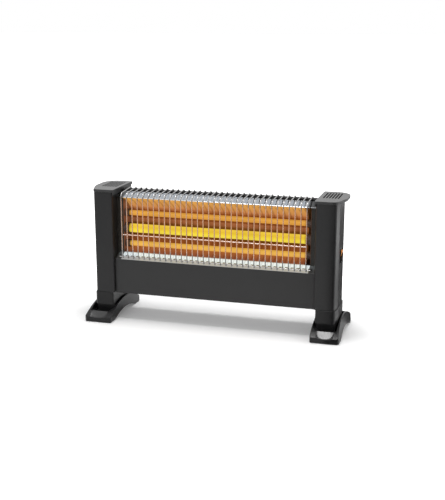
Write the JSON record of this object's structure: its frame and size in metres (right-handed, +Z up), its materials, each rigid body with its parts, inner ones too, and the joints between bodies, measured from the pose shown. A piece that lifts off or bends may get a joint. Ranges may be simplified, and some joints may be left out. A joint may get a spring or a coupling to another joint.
{
  "type": "electric bar heater",
  "caption": "Low free-standing electric bar heater: glowing quartz tubes in a polished trough behind a wire guard, between two moulded end towers on arched feet.",
  "frame": {"origin": "on the floor, under the middle of the heater, midway between toes and heels of the feet", "axes": "+X to the heater's right seen from the front (the switch side), -Y to the front, +Z up"},
  "size_m": [0.592, 0.187, 0.306],
  "materials": {
    "paint": "satin",
    "polished_sheet": "polished",
    "zinc_sheet": "satin",
    "chrome_wire": "polished",
    "orange_quartz": "glowing",
    "yellow_quartz": "glowing",
    "hot_coil": "glowing",
    "ceramic": "matte",
    "steel": "satin",
    "plastic": "fine grain",
    "rubber": "matte",
    "switch_black": "gloss",
    "amber_plastic": "gloss",
    "white_plastic": "satin",
    "brass": "satin",
    "glass_fibre_sleeve": "woven"
  },
  "bodies": {
    "heater": {"front_panel": "paint", "back_cover": "paint", "reflector": "polished_sheet", "left_end_plate": "zinc_sheet", "right_end_plate": "zinc_sheet", "guard_uprights": "chrome_wire", "guard_cross_wires": "chrome_wire", "upper_quartz_tube": "orange_quartz", "middle_quartz_tube": "yellow_quartz", "lower_quartz_tube": "orange_quartz", "upper_heating_coil": "hot_coil", "middle_heating_coil": "hot_coil", "lower_heating_coil": "hot_coil", "left_ceramic_caps": "ceramic", "right_ceramic_caps": "ceramic", "left_terminal_pins": "steel", "right_terminal_pins": "steel", "tube_clips": "steel", "left_tower": "plastic", "right_tower": "plastic", "left_top_cap": "plastic", "right_top_cap": "plastic", "left_foot": "plastic", "right_foot": "plastic", "foot_pads": "rubber", "switch_housing": "switch_black", "switch_terminals": "brass", "tip_switch_housing": "switch_black", "tip_spring": "steel", "thermal_cutout": "ceramic", "terminal_blocks": "ceramic", "left_leads": "glass_fibre_sleeve", "right_leads": "glass_fibre_sleeve", "cord_bushing": "rubber", "back_cover_screws": "steel", "tower_screws": "steel", "foot_screws": "steel"},
    "rocker": {"switch_rocker": "amber_plastic"},
    "plunger": {"tip_plunger": "white_plastic"}
  },
  "joints": [
    {"name": "power_switch", "type": "hinge", "parent": "heater", "child": "rocker", "pos_m": [0.281, -0.01, 0.179], "axis": [0, -1, 0], "range_deg": [0, 24]},
    {"name": "tip_over_plunger", "type": "slide", "parent": "heater", "child": "plunger", "axis": [0, 0, 1], "range_m": [-0.004, 0], "stiffness_N_per_m": 100, "springref_m": -0.006, "deforming": ["tip_spring"]}
  ]
}
